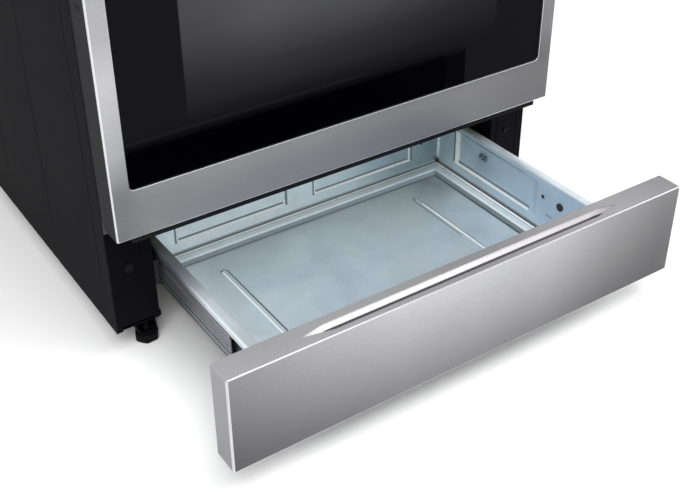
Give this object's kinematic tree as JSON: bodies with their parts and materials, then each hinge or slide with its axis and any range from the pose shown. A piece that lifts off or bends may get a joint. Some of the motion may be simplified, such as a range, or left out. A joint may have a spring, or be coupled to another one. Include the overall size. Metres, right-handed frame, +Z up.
{
  "type": "freestanding gas range",
  "caption": "Freestanding gas range with a full-width oven door, open storage drawer on slides, sealed burners, iron grates, front knobs and a low backguard.",
  "frame": {"origin": "centre of the footprint's bounding box on the floor, with the storage drawer standing 290 mm open", "axes": "+X to the viewer's right facing the door, +Y from the door towards the wall, +Z up"},
  "size_m": [0.758, 0.94, 1.168],
  "materials": {
    "painted_black": "satin baked enamel",
    "grey_painted": "satin",
    "galvanised": "zinc coated, faint spangle",
    "foot_steel": "black, satin",
    "screw_steel": "black zinc",
    "slide_steel": "dark zinc",
    "enamel": "gloss porcelain enamel",
    "enamel_matt": "matt porcelain enamel",
    "insulation": "glass wool",
    "burner_steel": "heat resisting steel",
    "lamp_glass": "frosted lamp lens",
    "chrome_wire": "bright plated wire",
    "hinge_steel": "zinc",
    "stainless": "brushed stainless",
    "dark_glass": "black tinted",
    "clear_glass": "clear",
    "gasket_rope": "braided glass fibre",
    "black_plastic": "fine texture",
    "grey_plastic": "pale, satin",
    "pipe_steel": "plain tube",
    "brass": "cast and turned",
    "knob_metal": "brushed, satin",
    "aluminium_cast": "cast",
    "cast_iron": "matt enamelled",
    "display_glass": "gloss black panel"
  },
  "bodies": {
    "cabinet": {"side_panel_left": "painted_black", "side_panel_right": "painted_black", "rear_panel": "galvanised", "base_frame": "painted_black", "front_post_left": "painted_black", "front_post_right": "painted_black", "post_screws": "screw_steel", "slide_supports": "galvanised", "slide_cabinet_members": "slide_steel", "oven_front_frame": "enamel", "oven_liner": "enamel", "oven_insulation": "insulation", "oven_floor_panel": "enamel", "bake_burner": "burner_steel", "broil_burner": "burner_steel", "oven_lamp": "lamp_glass", "hinge_arms": "hinge_steel", "control_fascia": "stainless", "gas_manifold": "pipe_steel", "gas_valves": "brass", "cooktop_deck": "enamel", "burner_bases": "aluminium_cast", "burner_caps": "enamel_matt", "backguard_shell": "stainless", "backguard_display": "display_glass", "gas_regulator": "brass", "gas_supply_tube": "pipe_steel", "power_inlet": "black_plastic"},
    "door": {"door_skin": "stainless", "door_side_plates": "grey_painted", "door_inner_panel": "enamel", "door_glass_outer": "dark_glass", "door_glass_inner": "clear_glass", "door_window_frame": "galvanised", "door_gasket": "gasket_rope", "door_top_trim": "black_plastic", "door_bottom_trim": "painted_black", "door_hinge_channels": "hinge_steel", "door_handle_bar": "stainless", "door_handle_mounts": "stainless"},
    "drawer": {"drawer_front_skin": "stainless", "drawer_front_back": "galvanised", "drawer_pull_insert": "grey_plastic", "drawer_pan": "galvanised", "pan_hole_plugs": "black_plastic", "slide_drawer_members": "slide_steel"},
    "slide_middle": {"slide_middle_members": "slide_steel"},
    "rack_lower": {"oven_rack_lower": "chrome_wire"},
    "rack_upper": {"oven_rack_upper": "chrome_wire"},
    "grate_left": {"grate_left": "cast_iron"},
    "grate_right": {"grate_right": "cast_iron"},
    "foot_front_left": {"leveling_foot_front_left": "foot_steel"},
    "foot_front_right": {"leveling_foot_front_right": "foot_steel"},
    "foot_rear_left": {"leveling_foot_rear_left": "foot_steel"},
    "foot_rear_right": {"leveling_foot_rear_right": "foot_steel"},
    "knob_1": {"burner_knob_1": "knob_metal"},
    "knob_2": {"burner_knob_2": "knob_metal"},
    "knob_3": {"burner_knob_3": "knob_metal"},
    "knob_4": {"burner_knob_4": "knob_metal"}
  },
  "joints": [
    {"name": "door_hinge", "type": "hinge", "parent": "cabinet", "child": "door", "pos_m": [0, -0.156, 0.239], "axis": [1, 0, 0], "range_deg": [0, 90], "stiffness_Nm_per_rad": 12, "springref_deg": -8.59},
    {"name": "drawer_slide", "type": "slide", "parent": "cabinet", "child": "drawer", "axis": [0, -1, 0], "range_m": [-0.29, 0.03]},
    {"name": "slide_middle_run", "type": "slide", "parent": "cabinet", "child": "slide_middle", "axis": [0, -1, 0], "range_m": [-0.1914, 0.0198]},
    {"name": "rack_lower_slide", "type": "slide", "parent": "cabinet", "child": "rack_lower", "axis": [0, -1, 0], "range_m": [0, 0.015]},
    {"name": "rack_upper_slide", "type": "slide", "parent": "cabinet", "child": "rack_upper", "axis": [0, -1, 0], "range_m": [0, 0.015]},
    {"name": "grate_left_lift", "type": "slide", "parent": "cabinet", "child": "grate_left", "axis": [0, 0, 1], "range_m": [0, 0.06]},
    {"name": "grate_right_lift", "type": "slide", "parent": "cabinet", "child": "grate_right", "axis": [0, 0, 1], "range_m": [0, 0.06]},
    {"name": "foot_front_left_turn", "type": "hinge", "parent": "cabinet", "child": "foot_front_left", "pos_m": [-0.326, -0.105, 0.03], "axis": [0, 0, 1], "continuous": true},
    {"name": "foot_front_right_turn", "type": "hinge", "parent": "cabinet", "child": "foot_front_right", "pos_m": [0.326, -0.105, 0.03], "axis": [0, 0, 1], "continuous": true},
    {"name": "foot_rear_left_turn", "type": "hinge", "parent": "cabinet", "child": "foot_rear_left", "pos_m": [-0.326, 0.427, 0.03], "axis": [0, 0, 1], "continuous": true},
    {"name": "foot_rear_right_turn", "type": "hinge", "parent": "cabinet", "child": "foot_rear_right", "pos_m": [0.326, 0.427, 0.03], "axis": [0, 0, 1], "continuous": true},
    {"name": "knob_1_turn", "type": "hinge", "parent": "cabinet", "child": "knob_1", "pos_m": [-0.285, -0.198, 0.823], "axis": [0, -0.9815, 0.1915], "range_deg": [-270, 0]},
    {"name": "knob_2_turn", "type": "hinge", "parent": "cabinet", "child": "knob_2", "pos_m": [-0.125, -0.198, 0.823], "axis": [0, -0.9815, 0.1915], "range_deg": [-270, 0]},
    {"name": "knob_3_turn", "type": "hinge", "parent": "cabinet", "child": "knob_3", "pos_m": [0.125, -0.198, 0.823], "axis": [0, -0.9815, 0.1915], "range_deg": [-270, 0]},
    {"name": "knob_4_turn", "type": "hinge", "parent": "cabinet", "child": "knob_4", "pos_m": [0.285, -0.198, 0.823], "axis": [0, -0.9815, 0.1915], "range_deg": [-270, 0]}
  ],
  "couplings": [
    {"joint": "slide_middle_run", "follows": "drawer_slide", "ratio": 0.66}
  ]
}
